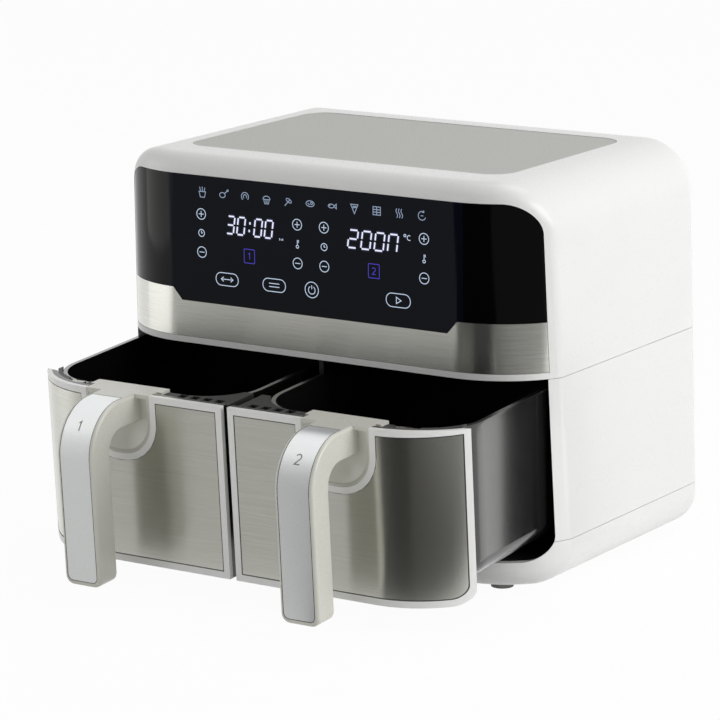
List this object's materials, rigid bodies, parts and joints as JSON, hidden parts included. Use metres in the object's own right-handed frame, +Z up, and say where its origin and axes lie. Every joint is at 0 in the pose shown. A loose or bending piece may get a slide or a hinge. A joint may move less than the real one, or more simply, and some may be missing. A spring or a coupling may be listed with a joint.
{
  "type": "air fryer",
  "caption": "Worktop hot-air fryer with side-by-side pull-out basket drawers, a touch panel across the top and a fan and heating element over each basket.",
  "frame": {"origin": "on the table under the middle of the bounding box, with both drawers pulled out as in the picture", "axes": "+X to the right seen from the front, +Y from the front to the back, +Z up"},
  "size_m": [0.3918, 0.4322, 0.31],
  "materials": {
    "white_housing": "satin injection-moulded white",
    "white_frame": "gloss injection-moulded white",
    "silver_plate": "matt silver paint",
    "grille": "fine matt texture",
    "rubber": "matt",
    "silicone": "satin",
    "screw": "zinc plated",
    "black_panel": "polished black",
    "brushed_steel": "level brushed grain",
    "board": "solder mask",
    "display": "moulded",
    "liner": "matt black",
    "sheet_steel": "aluminised sheet",
    "sensor": "moulded",
    "element": "heat-darkened sheath",
    "wire": "drawn wire",
    "motor": "zinc-plated laminations",
    "fan_metal": "pressed sheet",
    "fan_plastic": "moulded",
    "non_stick": "gloss non-stick coat",
    "collar": "fine matt charcoal",
    "magnet": "nickel plated",
    "ivory_handle": "satin ivory",
    "inlay": "satin anodised"
  },
  "bodies": {
    "housing": {"top_housing": "white_housing", "lower_housing": "white_housing", "base_pan": "white_housing", "top_plate": "silver_plate", "rear_grille_right": "grille", "rear_grille_left": "grille", "cord_bush": "rubber", "rubber_feet": "rubber", "base_screws": "screw", "control_panel": "black_panel", "steel_band": "brushed_steel", "control_board": "board", "power_board": "board", "display_module_right": "display", "display_module_left": "display", "bay_liner": "liner", "divider_plate": "sheet_steel", "heating_chamber_right": "sheet_steel", "heating_chamber_left": "sheet_steel", "drawer_sensor_right": "sensor", "drawer_sensor_left": "sensor", "heating_element_right": "element", "heating_element_left": "element", "element_guard_right": "wire", "element_guard_left": "wire", "temperature_sensor_right": "wire", "temperature_sensor_left": "wire", "motor_right": "motor", "motor_left": "motor"},
    "drawer_right": {"front_frame_right": "white_frame", "front_panel_right": "brushed_steel", "basket_right": "non_stick", "basket_collar_right": "collar", "drawer_magnet_right": "magnet", "handle_right": "ivory_handle", "handle_inlay_right": "inlay", "handle_screws_right": "screw"},
    "crisper_right": {"crisper_plate_right": "non_stick", "crisper_bumpers_right": "silicone"},
    "fan_right": {"motor_shaft_right": "wire", "hot_air_fan_right": "fan_metal", "cooling_fan_right": "fan_plastic"},
    "drawer_left": {"front_frame_left": "white_frame", "front_panel_left": "brushed_steel", "basket_left": "non_stick", "basket_collar_left": "collar", "drawer_magnet_left": "magnet", "handle_left": "ivory_handle", "handle_inlay_left": "inlay", "handle_screws_left": "screw"},
    "crisper_left": {"crisper_plate_left": "non_stick", "crisper_bumpers_left": "silicone"},
    "fan_left": {"motor_shaft_left": "wire", "hot_air_fan_left": "fan_metal", "cooling_fan_left": "fan_plastic"}
  },
  "joints": [
    {"name": "drawer_right_slide", "type": "slide", "parent": "housing", "child": "drawer_right", "axis": [0, -0.9955, -0.095], "range_m": [-0.1105, 0.08]},
    {"name": "crisper_right_lift", "type": "slide", "parent": "drawer_right", "child": "crisper_right", "axis": [0, -0.061, 0.9981], "range_m": [0, 0.095]},
    {"name": "fan_right_spin", "type": "hinge", "parent": "housing", "child": "fan_right", "pos_m": [0.095, 0.071, 0.24], "axis": [0, 0, 1], "continuous": true},
    {"name": "drawer_left_slide", "type": "slide", "parent": "housing", "child": "drawer_left", "axis": [0, -0.9955, -0.095], "range_m": [-0.1105, 0.08]},
    {"name": "crisper_left_lift", "type": "slide", "parent": "drawer_left", "child": "crisper_left", "axis": [0, -0.061, 0.9981], "range_m": [0, 0.095]},
    {"name": "fan_left_spin", "type": "hinge", "parent": "housing", "child": "fan_left", "pos_m": [-0.095, 0.071, 0.24], "axis": [0, 0, 1], "continuous": true}
  ]
}
